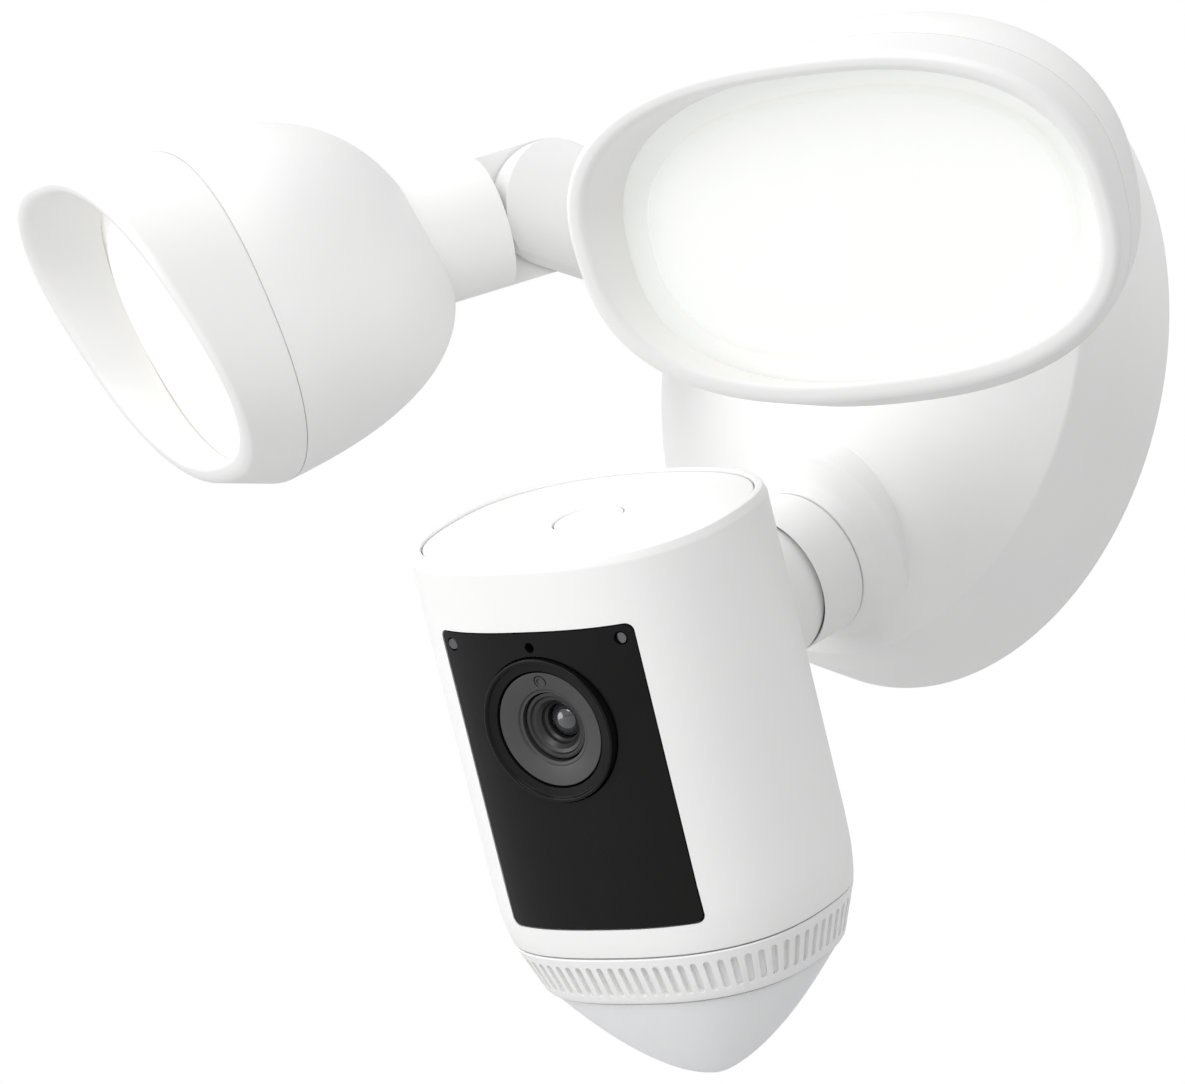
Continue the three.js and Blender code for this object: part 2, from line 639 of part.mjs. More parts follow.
// Half of a round bar along +Z, on one side of the lap, whose end is rounded about the knuckle's pin.
function lapTongue(radius, side, reachTo) {
  const [from, to] = side > 0 ? [GAP, radius + 1] : [-radius - 1, -GAP];
  const half = block([from, -radius - 1, -radius - 1], [to, radius + 1, reachTo + 1]);
  const across = alongX(rod(radius, -radius - 1, radius + 1, 24));
  const rounded = common(rod(radius, -radius - 1, 0.01, 24), across);
  return common(join(rod(radius, 0, reachTo, 24), rounded), half);
}

const KNUCKLE = { step: 12.7, hole: 3.1, shank: 2.6, head: 5, washer: 8, washerDepth: 1.4 };

function lampShell(side) {
  const shares = [0.005, 0.3, 0.52, 0.7, 0.84, 0.93, 0.985];
  const outer = loft(shares.map((share) => lampRing(shellSection(share))));
  const hollowRings = [0, 0.3, 0.52, 0.7, 0.84].map((share) => lampRing(shellSection(share), WALL));
  hollowRings[0].forEach((point) => point.setY(point.y - 1));
  const hollow = loft(hollowRings);
  const neck = rod(LAMP.neckRadius, KNUCKLE.step, 44, 24).applyMatrix4(neckAxis());
  const tongue = lapTongue(LAMP.neckRadius, side, KNUCKLE.step + 1).applyMatrix4(neckAxis());
  const bare = join(cut(join(outer, neck), hollow), tongue);
  const tools = [
    rod(KNUCKLE.hole, -20, 20, 12),
    rod(KNUCKLE.washer + GAP, -1, KNUCKLE.washerDepth + GAP),
    rod(KNUCKLE.head + 0.4, 8, 16, 16),
  ];
  return cut(bare, ...tools.map((tool) => alongX(tool).scale(side, 1, 1).translate(...LAMP.pivot)));
}

// The frosted front lens: a flange held in the hood, and a raised tray inside it.
function lampLens() {
  const inside = [[0.67, 20], [0.69, 13], [0.86, 11]];
  const outside = [[0.86, 2.9], [0.71, 2.9], [0.71, 8.6], [0.6, 9.6], [0.55, 13], [0.53, 20]];
  const rings = [...inside, ...outside];
  return loft(rings.map(([share, inset]) => lampRing(hoodSection(share), inset)));
}

function lensSeal() {
  const rings = [[0.89, 2.9], [0.97, 2.9], [0.97, 6.4], [0.89, 6.4]];
  return loft(rings.map(([share, inset]) => lampRing(hoodSection(share), inset)), true);
}

// The white dish that the light sources stand in.
function lampReflector() {
  const front = [[0.04, 3.6], [0.04, 6.5], [0.3, 14.5]];
  const back = [[0.36, 14.5], [0.36, 12.7], [0.1, 5], [0.1, 3.6]];
  return loft([...front, ...back].map(([share, inset]) => lampRing(shellSection(share), inset)), true);
}

function ledBoard() {
  const plate = loft([0.38, 0.415].map((share) => lampRing(shellSection(share), 13.5)));
  const { depth, lift, slope } = shellSection(0.38);
  const [columnPitch, rowPitch] = [11, 13];
  const chips = [-0.5, 0.5].flatMap((row) => [-1.5, -0.5, 0.5, 1.5].map((column) => {
    const height = row * rowPitch;
    const chip = block([-1.8, -1.4, -1.8], [1.8, 1, 1.8]);
    return chip.translate(column * columnPitch, depth + slope * height, lift + height);
  }));
  return join(plate, ...chips);
}

function heatSink() {
  const { depth, lift, slope } = shellSection(0.415);
  const plate = block([-22, GAP, -14], [22, 2.8, 14]);
  const fins = [-18, -12, -6, 0, 6, 12, 18].map((x) => block([x - 0.8, 2.3, -12], [x + 0.8, 9, 12]));
  return join(plate, ...fins).rotateX(-Math.atan(slope)).translate(0, depth, lift);
}

function knuckleScrew(side) {
  const shape = alongX(screw(KNUCKLE.head, 2.8, KNUCKLE.shank, 15.4)).translate(8 + GAP, 0, 0);
  return shape.scale(side, 1, 1);
}

function lampArm(side) {
  const tongue = alongBack(lapTongue(ARM.radius, -side, KNUCKLE.step + 1));
  const body = alongBack(rod(ARM.radius, KNUCKLE.step, ARM.step, 24));
  const barrel = alongBack(rod(ARM.barrelRadius, ARM.step - 1, ARM.end, 24));
  const pinHole = alongX(rod(KNUCKLE.hole, -8, 1, 12)).scale(side, 1, 1);
  return cut(join(tongue, body, barrel), pinHole, alongBack(rod(2.9, 24, 40, 12)));
}

// The lamp's own pieces, in its frame.
function lampParts(name, side) {
  const flat = ring(KNUCKLE.hole, KNUCKLE.washer, GAP / 2, KNUCKLE.washerDepth - 0.05);
  const washer = alongX(flat).scale(side, 1, 1);
  return [
    part("lamp_shell_" + name, "white", lampShell(side)),
    part("lamp_hood_" + name, "white", lampHood()),
    part("lamp_lens_" + name, "diffuser", lampLens()),
    part("lens_seal_" + name, "rubber", lensSeal()),
    part("reflector_" + name, "reflector", lampReflector()),
    part("led_board_" + name, "aluminium", ledBoard()),
    part("heat_sink_" + name, "aluminium", heatSink()),
    part("knuckle_washer_" + name, "nylon", washer.translate(...LAMP.pivot)),
    part("knuckle_screw_" + name, "steel", knuckleScrew(side).translate(...LAMP.pivot)),
  ];
}

// ---- Assembly ---------------------------------------------------------------------------------------

function group(children, matrix) {
  const made = new THREE.Group();
  if (matrix) matrix.decompose(made.position, made.quaternion, made.scale);
  return children.length ? made.add(...children) : made;
}

function lampAssembly([name, side]) {
  const tilt = side > 0 ? ARM.tilt.right : ARM.tilt.left;
  const [x, y, z] = LAMP.pivot;
  const lamp = group(lampParts(name, side));
  lamp.position.set(-x, -y, -z);
  const tilted = group([lamp], new THREE.Matrix4().makeRotationX(degrees(tilt)));
  const bolt = alongBack(screw(5, 2.5, 2.6, 11)).translate(0, SOCKET.floor + ARM.socketFloor + 1.4, 0);
  return group([
    part("lamp_arm_" + name, "white", lampArm(side)),
    part("shoulder_screw_" + name, "steel", bolt),
    tilted,
  ], armFrame(side));
}

function cameraAssembly() {
  const centre = new THREE.Vector3(0, 0, NECK.ballHeight).applyMatrix4(neckFrame);
  const turn = new THREE.Euler(...CAMERA.turn.map(degrees), "YZX");
  const [x, y, z] = CAMERA.ball;
  const body = group([...cameraParts(), part("setup_button", "white", setupButton())]);
  body.position.set(-x, -y, -z);
  return group([part("socket_liner", "nylon", socketLiner()), body],
    new THREE.Matrix4().makeRotationFromEuler(turn).setPosition(centre));
}

function neckAssembly() {
  const nut = ring(NECK.spigotRadius + GAP, 12.5, -10.8, -7.5);
  return group([part("camera_neck", "white", cameraNeck()), part("neck_nut", "nylon", nut)], neckFrame);
}

export default group([...baseParts(), neckAssembly(), cameraAssembly(), ...SIDES.map(lampAssembly)]);
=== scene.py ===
import json
import math

import bpy
import numpy as np
from mathutils import Matrix, Vector


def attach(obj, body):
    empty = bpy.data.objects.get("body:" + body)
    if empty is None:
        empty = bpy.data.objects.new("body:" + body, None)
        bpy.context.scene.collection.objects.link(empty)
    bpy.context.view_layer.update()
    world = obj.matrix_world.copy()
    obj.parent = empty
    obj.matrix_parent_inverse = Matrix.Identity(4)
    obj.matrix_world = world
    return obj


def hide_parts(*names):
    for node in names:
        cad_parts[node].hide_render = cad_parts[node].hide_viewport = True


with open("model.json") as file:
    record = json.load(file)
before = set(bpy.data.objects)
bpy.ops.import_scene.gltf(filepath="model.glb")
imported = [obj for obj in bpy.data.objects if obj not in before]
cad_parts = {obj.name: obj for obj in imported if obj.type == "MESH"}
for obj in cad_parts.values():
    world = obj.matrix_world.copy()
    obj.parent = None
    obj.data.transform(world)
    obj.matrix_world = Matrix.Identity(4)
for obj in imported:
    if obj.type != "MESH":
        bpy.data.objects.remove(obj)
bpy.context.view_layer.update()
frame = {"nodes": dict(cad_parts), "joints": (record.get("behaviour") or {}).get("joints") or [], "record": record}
JOINTS = {joint["name"]: joint for joint in frame["joints"]}
NODE_SLOT = {entry["node"]: entry["material_slot"] for entry in frame["record"]["subparts"]}
MM = 0.001

# ---- Driving dimensions, in millimetres in each sub-assembly's own frame -------------------------

GAP = 0.3
BASE = {
    "radius": 60,
    "crease_radius": 56.2,
    "crease_height": 19,
    "dome_radius": 107,
    "dome_edge": 54.5,
    "inner_edge": 52,
    "wall": 2.6,
    "rim_height": 0.5,
}
# The lock screw's hole: its height above the wall, its radius, and its turn from the bottom to the left.
LOCK = {"height": 7.5, "hole": 1.8, "turn": 30}
NECK = {
    "pad_radius": 19.9,
    "root_radius": 20.3,
    "root_depth": 7.2,
    "seam_radius": 13.7,
    "seam_height": 4.4,
    "spigot_radius": 9.1,
    "spigot_depth": 11.2,
    "shaft_radius": 4.2,
    "ball_height": 23.3,
    "ball_radius": 10,
    "cup_radius": 15.7,
}
CAMERA = {
    "half_width": 32.6,
    "half_front": 25.3,
    "half_back": 25.8,
    "front_exponent": 2.6,
    "back_exponent": 2.4,
    "seam": -74.3,
    "vent": -84.2,
    "dome_top": -84.6,
    "dome_tip": -105,
    "dome_lean": 2,
    "dome_scale": 0.812,
    "dome_exponent": 0.624,
    "dome_wall": 1.6,
    "ball": (0, 36.9, -30.3),
    "panel_half_width": 20.9,
    "panel_top": -12.4,
    "panel_bottom": -68.6,
    "panel_corner": 1.6,
    "panel_sunk": 0.12,
    "wall": 2.4,
    "inner_wall": 2.2,
    "lens_height": -30.7,
    "slots": 72,
    "slot_depth": 0.9,
    "collar_radius": 13.5,
    "collar_depth": 11.8,
}
VENT_TOP = CAMERA["seam"] - GAP
VENT_SCALE = (0.962, 0.845)  # the section's size at the top and the bottom of the vent ring
BUTTON = {"stem": 1.6, "flange": 7.8, "radius": 6.3, "hole": 6.6, "sunk": 0.42}
LENS = {"bezel": 13.4, "disc": 10.6, "barrel": 6.2, "glass": 3.0, "face": 26.0, "dimple_height": 8.7}
INFRARED = {"x": 18.3, "z": CAMERA["panel_top"] - 2.6, "hole": 1.25}
MICROPHONE = {"z": CAMERA["panel_top"] - 3, "hole": 0.95}
# A lamp section is half width, half height, exponent, depth, lift and slope.
LAMP = {
    "rim": np.array([48.4, 32.7, 2.53, 0, 0, 0]),
    "seam": np.array([45.7, 32.3, 2.41, 14.9, -6.5, 0.182]),
    "back_depth": 43.5,
    "back_lift": -12.5,
    "back_exponent": 2.3,
    "pivot": (0, 81.4, -23.5),
    "neck_radius": 12.3,
    "wall": 2.4,
}
SEAM_DEPTH = LAMP["seam"][3]
ARM = {
    "radius": 12,
    "barrel_radius": 11,
    "step": 22,
    "end": 33.2,
    "socket_radius": 14.5,
    "socket_floor": 36.0,
    "screw_radius": 3.2,
}
KNUCKLE = {"step": 12.7, "hole": 3.1, "head": 5, "washer": 8, "washer_depth": 1.4, "seat": 8}
REST_TILT = {"right": 52.8, "left": 50.3}
SIDES = {"right": 1, "left": -1}
# The view and the floor: angles in degrees, lengths in metres, and the lens in millimetres.
VIEW = {
    "azimuth": 49.01,
    "elevation": -9.56,
    "roll": 2.94,
    "aim": (-0.0455, -0.0434, -0.0351),
    "distance": 1.66,
    "lens": 273.4,
}
FLOOR = {"height": -0.6, "reach": 6}

# ---- Local frames, from the joints ---------------------------------------------------------------


def frame_from(origin, x_axis, y_axis):
    x = Vector(x_axis).normalized()
    y = Vector(y_axis).normalized()
    rotation = Matrix((x, y, x.cross(y))).transposed().to_4x4()
    return Matrix.Translation(Vector(origin)) @ rotation


def shifted(matrix, x, y, z):
    return matrix @ Matrix.Translation(Vector((x, y, z)) * MM)


def neck_frame():
    swivel = JOINTS["camera_neck_swivel"]
    axis = Vector(swivel["axis"])
    return frame_from(swivel["pos_m"], (1, 0, 0), axis.cross(Vector((1, 0, 0))))


def camera_frame():
    pan = JOINTS["camera_pan"]
    across = Vector(JOINTS["camera_tilt"]["axis"])
    x, y, z = CAMERA["ball"]
    return shifted(frame_from(pan["pos_m"], across, Vector(pan["axis"]).cross(across)), -x, -y, -z)


def arm_frame(side):
    tilt = JOINTS["lamp_tilt_" + side]
    return frame_from(tilt["pos_m"], tilt["axis"], -Vector(JOINTS["arm_swivel_" + side]["axis"]))


def pivot_frame(side):
    return arm_frame(side) @ Matrix.Rotation(math.radians(REST_TILT[side]), 4, "X")


def lamp_frame(side):
    x, y, z = LAMP["pivot"]
    return shifted(pivot_frame(side), -x, -y, -z)


FRONT = Matrix.Rotation(math.radians(90), 4, "X")  # turns +Z to -Y
BACK = Matrix.Rotation(math.radians(-90), 4, "X")  # turns +Z to +Y
ACROSS = Matrix.Rotation(math.radians(90), 4, "Y")  # turns +Z to +X

# ---- Mesh building -------------------------------------------------------------------------------

ROUND = 96
ANGLES = np.linspace(0, 2 * math.pi, 144, endpoint=False)


def mesh_object(name, points, faces):
    mesh = bpy.data.meshes.new(name)
    mesh.from_pydata([tuple(map(float, point)) for point in points], [], faces)
    mesh.validate()
    made = bpy.data.objects.new(name, mesh)
    bpy.context.scene.collection.objects.link(made)
    return made


def skin(name, rings, closes=False, start=None, end=None):
    """A surface over rings of equal point count. start and end are points that the end rings fan in to."""
    count = len(rings[0])
    points = [point for ring in rings for point in ring]
    faces = []
    bands = len(rings) if closes else len(rings) - 1
    for i in range(bands):
        here, there = i * count, ((i + 1) % len(rings)) * count
        for j in range(count):
            k = (j + 1) % count
            faces.append((here + j, here + k, there + k, there + j))
    if not closes:
        last = (len(rings) - 1) * count
        for ring_start, tip, flip in ((0, start, True), (last, end, False)):
            loop = [ring_start + j for j in range(count)]
            loop = loop[::-1] if flip else loop
            if tip is None:
                faces.append(tuple(loop))
            else:
                points.append(tip)
                middle = len(points) - 1
                faces += [(loop[j], loop[(j + 1) % count], middle) for j in range(count)]
    made = mesh_object(name, points, faces)
    face_outwards(made)
    return made


def face_outwards(made):
    """Turns the faces round if the mesh's signed volume is negative."""
    mesh = made.data
    mesh.calc_loop_triangles()
    corners = np.array([v.co for v in mesh.vertices])
    triangles = corners[np.array([t.vertices for t in mesh.loop_triangles])]
    volume = np.einsum("ij,ij->i", triangles[:, 0], np.cross(triangles[:, 1], triangles[:, 2])).sum()
    if volume < 0:
        mesh.flip_normals()


def rounded(corners, closes=False, steps=6):
    """A polyline whose corners (a, b, radius) become arcs. Corners without a radius stay sharp."""
    count = len(corners)
    outline = []
    for i, corner in enumerate(corners):
        here = Vector(corner[:2])
        radius = corner[2] if len(corner) > 2 else 0
        if not radius or (not closes and i in (0, count - 1)):
            outline.append(tuple(here))
            continue
        towards = [Vector(corners[(i + k) % count][:2]) - here for k in (-1, 1)]
        half = towards[0].angle(towards[1]) / 2
        run = min(radius / math.tan(half), 0.49 * towards[0].length, 0.49 * towards[1].length)
        radius = run * math.tan(half)
        first, second = (t.normalized() * run for t in towards)
        centre = (first + second).normalized() * (radius / math.sin(half))
        spokes = (first - centre, second - centre)
        sweep = spokes[0].angle(spokes[1])
        for k in range(steps + 1):
            share = k / steps
            blend = spokes[0] * math.sin((1 - share) * sweep) + spokes[1] * math.sin(share * sweep)
            outline.append(tuple(here + centre + blend / math.sin(sweep)))
    return outline


def arc(radius, from_angle, to_angle, steps, height=0):
    """(distance from the axis, height) along a circle centred on the axis, by polar angle in degrees."""
    angles = np.radians(np.linspace(from_angle, to_angle, steps + 1))
    return [(radius * math.sin(a), height + radius * math.cos(a)) for a in angles]


def turned(name, profile, sides=ROUND):
    """A profile of (radius, height) turned about +Z. One that leaves the axis closes on itself."""
    angles = np.linspace(0, 2 * math.pi, sides, endpoint=False)
    circle = np.stack([np.cos(angles), np.sin(angles), np.zeros(sides)], 1)
    on_axis = profile[0][0] < 1e-6
    used = profile[1:-1] if on_axis else profile
    rings = [circle * radius + np.array([0, 0, height]) for radius, height in used]
    if not on_axis:
        return skin(name, rings, closes=True)
    return skin(name, rings, start=(0, 0, profile[0][1]), end=(0, 0, profile[-1][1]))


def rod(name, radius, start, end, sides=ROUND):
    return turned(name, rounded([(0, start), (radius, start), (radius, end), (0, end)]), sides)


def prism(name, outline, start, end):
    """A flat outline of (x, y) points carried along +Z."""
    rings = [[(x, y, height) for x, y in outline] for height in (start, end)]
    return skin(name, rings)


def box(name, low, high):
    corners = [(low[0], low[1]), (high[0], low[1]), (high[0], high[1]), (low[0], high[1])]
    return prism(name, corners, low[2], high[2])


def moved(made, matrix):
    """Places a piece built in millimetres. Matrices are in metres."""
    made.data.transform(matrix @ Matrix.Scale(MM, 4))
    return made


def turned_by(made, matrix, x=0.0, y=0.0, z=0.0):
    """Turns a piece and shifts it, all in millimetres."""
    made.data.transform(Matrix.Translation((x, y, z)) @ matrix)
    return made


def combine(base, operation, *others):
    for other in others:
        modifier = base.modifiers.new("combine", "BOOLEAN")
        modifier.operation = operation
        modifier.solver = "EXACT"
        modifier.object = other
    made = bpy.data.meshes.new_from_object(base.evaluated_get(bpy.context.evaluated_depsgraph_get()))
    base.modifiers.clear()
    base.data = made
    for other in others:
        bpy.data.objects.remove(other)
    return base


def softened(made, width, angle, segments):
    """Rounds the edges that turn by more than an angle in degrees."""
    modifier = made.modifiers.new("soften", "BEVEL")
    modifier.width = width
    modifier.segments = segments
    modifier.limit_method = "ANGLE"
    modifier.angle_limit = math.radians(angle)
    made.data = bpy.data.meshes.new_from_object(made.evaluated_get(bpy.context.evaluated_depsgraph_get()))
    made.modifiers.clear()
    return made


def show(made, place, body, slot, node, smooth=32):
    """Finishes a visual piece built in millimetres: places it, then gives it its body and its looks."""
    return finished(moved(made, place), body, slot, node, smooth)


def finished(made, body, slot, node, smooth=32):
    """Shades a placed piece, gives it its material, and lets it ride on its body in place of its CAD node."""
    made.data.shade_smooth()
    made.data.set_sharp_from_angle(angle=math.radians(smooth))
    made.data.materials.clear()
    made.data.materials.append(MATERIALS[slot])
    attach(made, body)
    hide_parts(node)
    return made


# ---- Materials -----------------------------------------------------------------------------------


class Nodes:
    """A short way to build a node tree."""

    def __init__(self, name):
        self.material = bpy.data.materials.new(name)
        self.material.use_nodes = True
        self.tree = self.material.node_tree
        self.shader = self.tree.nodes["Principled BSDF"]
        self.place = self.tree.nodes.new("ShaderNodeTexCoord").outputs["Object"]

    def add(self, kind, inputs=None, **settings):
        node = self.tree.nodes.new("ShaderNode" + kind)
        for key, value in settings.items():
            setattr(node, key, value)
        for key, value in (inputs or {}).items():
            if isinstance(value, bpy.types.NodeSocket):
                self.tree.links.new(value, node.inputs[key])
            else:
                node.inputs[key].default_value = value
        return node

    def noise(self, scale, detail=3.0):
        inputs = {"Vector": self.place, "Scale": scale, "Detail": detail}
        return self.add("TexNoise", inputs).outputs["Fac"]

    def ramp(self, value, low, high, from_low=0.3, from_high=0.7):
        """Maps a value from its own range onto low to high."""
        inputs = {"Value": value, "From Min": from_low, "From Max": from_high, "To Min": low, "To Max": high}
        return self.add("MapRange", inputs).outputs["Result"]

    def mix(self, factor, first, second):
        node = self.add("Mix", data_type="RGBA")
        self.tree.links.new(factor, node.inputs["Factor"])
        for socket, colour in ((node.inputs[6], first), (node.inputs[7], second)):
            if isinstance(colour, bpy.types.NodeSocket):
                self.tree.links.new(colour, socket)
            else:
                socket.default_value = (*colour, 1)
        return node.outputs[2]

    def bump(self, height, distance, strength):
        inputs = {"Height": height, "Distance": distance, "Strength": strength}
        return self.add("Bump", inputs).outputs["Normal"]

    def link(self, value, socket):
        self.tree.links.new(value, self.shader.inputs[socket])

    def set(self, **values):
        for key, value in values.items():
            self.shader.inputs[key.replace("_", " ")].default_value = value
        return self


def moulded(name, colour, shade, roughness, grain=5200, grain_depth=0.000012):
    """Injection-moulded plastic: faint flow mottling, a fine spark-eroded grain and uneven gloss."""
    nodes = Nodes(name)
    flow = nodes.noise(38, 4)
    nodes.link(nodes.mix(nodes.ramp(flow, 0, 1), colour, shade), "Base Color")
    nodes.link(nodes.ramp(nodes.noise(420, 5), roughness - 0.05, roughness + 0.06), "Roughness")
    fine = nodes.add("Math", {0: nodes.noise(grain, 2), 1: nodes.noise(60, 2)}, operation="MULTIPLY")
    nodes.link(nodes.bump(fine.outputs[0], grain_depth, 0.6), "Normal")
    return nodes


def white_plastic():
    nodes = moulded("white_plastic", (0.885, 0.885, 0.88), (0.87, 0.87, 0.868), 0.42)
    nodes.set(Specular_IOR_Level=0.45)
    nodes.set(Subsurface_Weight=0.06, Subsurface_Radius=(0.004, 0.004, 0.0038), Subsurface_Scale=0.4)
    return nodes.material


def opal_diffuser():
    """The lit lens: a faint pattern of light sources, whiter over each and warmer between them."""
    nodes = moulded("opal_diffuser", (0.87, 0.865, 0.835), (0.85, 0.845, 0.81), 0.3)
    spacing = {"Vector": nodes.place, "Scale": 62.0, "Smoothness": 1.0}
    spots = nodes.add("TexVoronoi", spacing, feature="SMOOTH_F1")
    glow = nodes.ramp(spots.outputs["Distance"], 1.0, 0.93, 0.0, 0.8)
    nodes.link(nodes.mix(glow, (1.0, 0.93, 0.8), (1.0, 0.985, 0.94)), "Emission Color")
    nodes.set(Emission_Strength=0.28, Subsurface_Weight=0.2, Subsurface_Scale=0.3)
    return nodes.material


def frosted_dome():
    nodes = moulded("frosted_dome", (0.89, 0.9, 0.925), (0.87, 0.885, 0.91), 0.34, grain=3000)
    nodes.set(Subsurface_Weight=0.55, Subsurface_Radius=(0.006, 0.0063, 0.007), Subsurface_Scale=0.6)
    return nodes.material


def gloss_black():
    nodes = moulded("gloss_black", (0.005, 0.005, 0.0048), (0.007, 0.007, 0.0067), 0.2, 2600, 0.000002)
    nodes.set(Specular_IOR_Level=0.16)
    return nodes.material


def dark_plastic():
    return moulded("dark_plastic", (0.016, 0.016, 0.017), (0.022, 0.022, 0.023), 0.36).material


def grey_plastic():
    return moulded("grey_plastic", (0.04, 0.04, 0.042), (0.05, 0.05, 0.052), 0.38).material


def coated_glass():
    """A lens element with a faint violet to green anti-reflection coating."""
    nodes = Nodes("coated_glass")
    tint = nodes.ramp(nodes.noise(260), 0, 1)
    nodes.link(nodes.mix(tint, (0.05, 0.045, 0.06), (0.07, 0.085, 0.085)), "Base Color")
    nodes.link(nodes.ramp(nodes.noise(900), 0.03, 0.08), "Roughness")
    nodes.set(Specular_IOR_Level=0.9, Coat_Weight=1.0, Coat_Roughness=0.02, Metallic=0.35)
    return nodes.material


def metal(name, colour, shade, roughness, direction):
    """Rolled or plated metal: fine lines one way, slight clouding and handling marks."""
    nodes = Nodes(name)
    stretch = nodes.add("Mapping", {"Vector": nodes.place, "Scale": direction}).outputs["Vector"]
    lines = nodes.add("TexNoise", {"Vector": stretch, "Scale": 900.0, "Detail": 4.0}).outputs["Fac"]
    nodes.link(nodes.mix(nodes.ramp(nodes.noise(90, 5), 0, 1), colour, shade), "Base Color")
    nodes.link(nodes.ramp(lines, roughness - 0.08, roughness + 0.1), "Roughness")
    nodes.link(nodes.bump(lines, 0.00001, 0.5), "Normal")
    nodes.set(Metallic=1.0)
    return nodes.material


def zinc_steel():
    return metal("zinc_steel", (0.55, 0.56, 0.57), (0.48, 0.49, 0.5), 0.36, (1, 8, 8))


def plain_aluminium():
    return metal("plain_aluminium", (0.78, 0.79, 0.8), (0.7, 0.71, 0.72), 0.4, (8, 1, 8))


def black_rubber():
    return moulded("black_rubber", (0.03, 0.03, 0.03), (0.042, 0.042, 0.041), 0.75, 3800, 0.00003).material


def green_board():
    """Solder mask with a hint of copper tracks under it."""
    nodes = moulded("green_board", (0.015, 0.13, 0.055), (0.02, 0.17, 0.075), 0.3)
    tracks = nodes.add("TexBrick", {"Vector": nodes.place, "Scale": 260.0, "Mortar Size": 0.03})
    tracks.inputs["Color1"].default_value = (0.015, 0.13, 0.055, 1)
    tracks.inputs["Color2"].default_value = (0.018, 0.15, 0.065, 1)
    tracks.inputs["Mortar"].default_value = (0.05, 0.24, 0.1, 1)
    nodes.link(tracks.outputs["Color"], "Base Color")
    return nodes.material


def white_reflector():
    return moulded("white_reflector", (0.92, 0.92, 0.91), (0.9, 0.9, 0.88), 0.22).material


def natural_nylon():
    nodes = moulded("natural_nylon", (0.74, 0.73, 0.69), (0.69, 0.68, 0.64), 0.5)
    nodes.set(Subsurface_Weight=0.25, Subsurface_Scale=0.2)
    return nodes.material


MATERIALS = {
    "white": white_plastic(),
    "diffuser": opal_diffuser(),
    "frosted": frosted_dome(),
    "panel": gloss_black(),
    "dark_plastic": dark_plastic(),
    "grey_plastic": grey_plastic(),
    "glass": coated_glass(),
    "steel": zinc_steel(),
    "aluminium": plain_aluminium(),
    "rubber": black_rubber(),
    "board": green_board(),
    "reflector": white_reflector(),
    "nylon": natural_nylon(),
}

# ---- Wall base -----------------------------------------------------------------------------------


def dome_height(radius, thickness=0.0):
    centre = BASE["crease_height"] - math.sqrt(BASE["dome_radius"] ** 2 - BASE["crease_radius"] ** 2)
    return centre + math.sqrt((BASE["dome_radius"] - thickness) ** 2 - radius**2)


def base_shell():
    """The round cap with its soft crease, hollow behind."""
    outer = [(radius, dome_height(radius)) for radius in np.linspace(0, BASE["dome_edge"], 24)]
    side = [
        (BASE["crease_radius"], BASE["crease_height"], 1.3),
        (BASE["radius"] - 1.4, 12.5, 16),
        (BASE["radius"], BASE["rim_height"], 0.4),
        (57.2, BASE["rim_height"]),
        (56.4, 12),
    ]
    crease = rounded([outer[-1], *side], steps=8)[1:]
    inwards = np.linspace(BASE["inner_edge"], 0, 12)
    inner = [(radius, dome_height(radius, BASE["wall"])) for radius in inwards]
    return turned_by(turned("base_shell", [*outer, *crease, *inner], 160), FRONT)


def camera_pad():
    """The boss under the neck: a flat-rimmed pad that sweeps up to the neck's seam."""
    root, top = -NECK["root_depth"], NECK["seam_height"]
    flare = [(NECK["pad_radius"], 0, 0.5), (18.6, 0.5, 2), (15.6, 2.0, 3), (14.2, 3.6, 2)]
    rim = (NECK["seam_radius"], top, 0.3)
    return rounded([(0, root), (NECK["root_radius"], root), *flare, rim, (0, top)])


def arm_socket():
    mouth, floor, radius = ARM["step"] + GAP, ARM["socket_floor"], ARM["socket_radius"]
    profile = rounded([(0, mouth), (radius, mouth, 0.9), (radius, floor), (0, floor)])
    return turned_by(turned("socket", profile), BACK)


def build_base():
    """The cap, its pad and its arm sockets joined, then bored for the neck, the arms and the lock screw."""
    shell = moved(base_shell(), Matrix.Identity(4))
    neck = neck_frame()
    additions = [moved(turned("pad", camera_pad(), 120), neck)]
    cuts = [moved(rod("pad_bore", NECK["spigot_radius"] + GAP, -20, 10), neck)]
    for side in SIDES:
        arm = arm_frame(side)
        additions.append(moved(arm_socket(), arm))
        bore = rod("bore", ARM["barrel_radius"] + GAP, 10, ARM["end"] + GAP)
        cuts.append(moved(turned_by(bore, BACK), arm))
        cuts.append(moved(turned_by(rod("screw_way", ARM["screw_radius"], 20, 48), BACK), arm))
    lock = turned_by(rod("lock_hole", LOCK["hole"], -70, -50, 32), Matrix.Identity(4), y=-LOCK["height"])
    cuts.append(moved(lock, Matrix.Rotation(math.radians(LOCK["turn"]), 4, "Y")))
    combine(shell, "UNION", *additions)
    combine(shell, "DIFFERENCE", *cuts)
    return finished(shell, "base", "white", "base_housing")


# ---- Neck, ball and collar -----------------------------------------------------------------------


def angle_at(circle, sphere):
    """The polar angle, in degrees, of a circle of one radius on a sphere of another."""
    return math.degrees(math.asin(circle / sphere))


